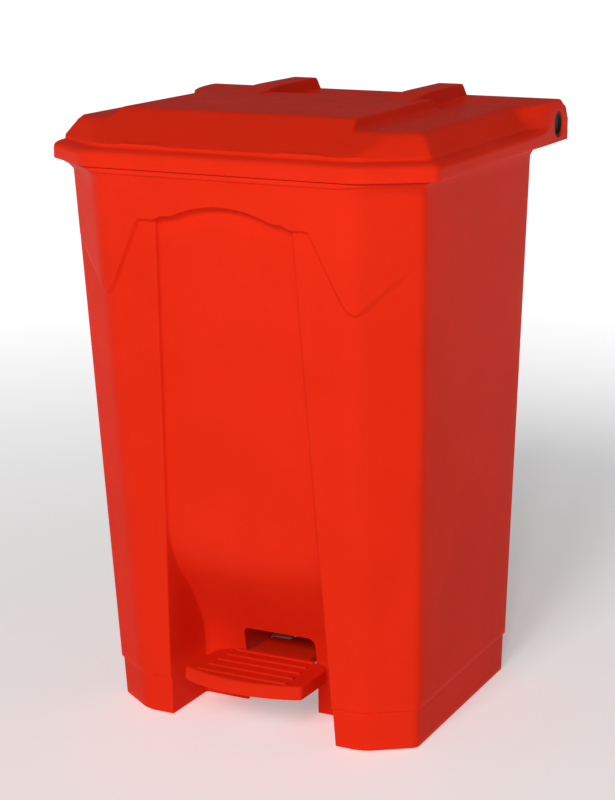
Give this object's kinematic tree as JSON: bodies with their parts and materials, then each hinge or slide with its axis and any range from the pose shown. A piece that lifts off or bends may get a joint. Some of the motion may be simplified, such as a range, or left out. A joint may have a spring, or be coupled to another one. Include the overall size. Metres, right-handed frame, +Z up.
{
  "type": "pedal bin",
  "caption": "Step-on waste bin of moulded red plastic: tapered tub on a recessed base, hinged raised-panel lid, ribbed foot pedal and a lever and wire that lift the lid.",
  "frame": {"origin": "on the floor, under the centre of the bounding box", "axes": "+Z up, the pedal and front face -Y, +X to the right of somebody facing the front"},
  "size_m": [0.4284, 0.41, 0.658],
  "materials": {
    "red_plastic": "satin, moulded",
    "black_plastic": "satin, moulded",
    "zinc_steel": "bright zinc plate",
    "natural_plastic": "satin, moulded"
  },
  "bodies": {
    "tub": {"body": "red_plastic", "pedal_axle": "zinc_steel", "axle_clip_left": "zinc_steel", "axle_clip_right": "zinc_steel", "wire_guide_lower_left": "black_plastic", "wire_guide_lower_right": "black_plastic", "wire_guide_upper_left": "black_plastic", "wire_guide_upper_right": "black_plastic", "guide_screw_lower_left": "zinc_steel", "guide_screw_lower_right": "zinc_steel", "guide_screw_upper_left": "zinc_steel", "guide_screw_upper_right": "zinc_steel"},
    "lid": {"lid": "red_plastic", "hinge_pin_left": "black_plastic", "hinge_pin_right": "black_plastic", "lift_bush_left": "natural_plastic", "lift_bush_right": "natural_plastic"},
    "lift_wire": {"lift_wire": "zinc_steel", "wire_clip_left": "zinc_steel", "wire_clip_right": "zinc_steel"},
    "pedal": {"pedal_tread": "red_plastic", "pedal_lever": "zinc_steel", "tread_screw_front": "zinc_steel", "tread_screw_rear": "zinc_steel", "lever_bush_left": "natural_plastic", "lever_bush_right": "natural_plastic"}
  },
  "joints": [
    {"name": "lid_hinge", "type": "hinge", "parent": "tub", "child": "lid", "pos_m": [0, 0.1766, 0.619], "axis": [-1, 0, 0], "range_deg": [0, 78]},
    {"name": "wire_pivot", "type": "hinge", "parent": "lid", "child": "lift_wire", "pos_m": [0, 0.1559, 0.6016], "axis": [-1, 0, 0], "range_deg": [-78, 0]},
    {"name": "pedal_pivot", "type": "hinge", "parent": "tub", "child": "pedal", "pos_m": [0, 0.008, 0.04], "axis": [1, 0, 0], "range_deg": [0, 13.3]}
  ],
  "couplings": [
    {"joint": "wire_pivot", "follows": "lid_hinge", "ratio": -1},
    {"joint": "pedal_pivot", "follows": "lid_hinge", "ratio": 0.1705}
  ]
}
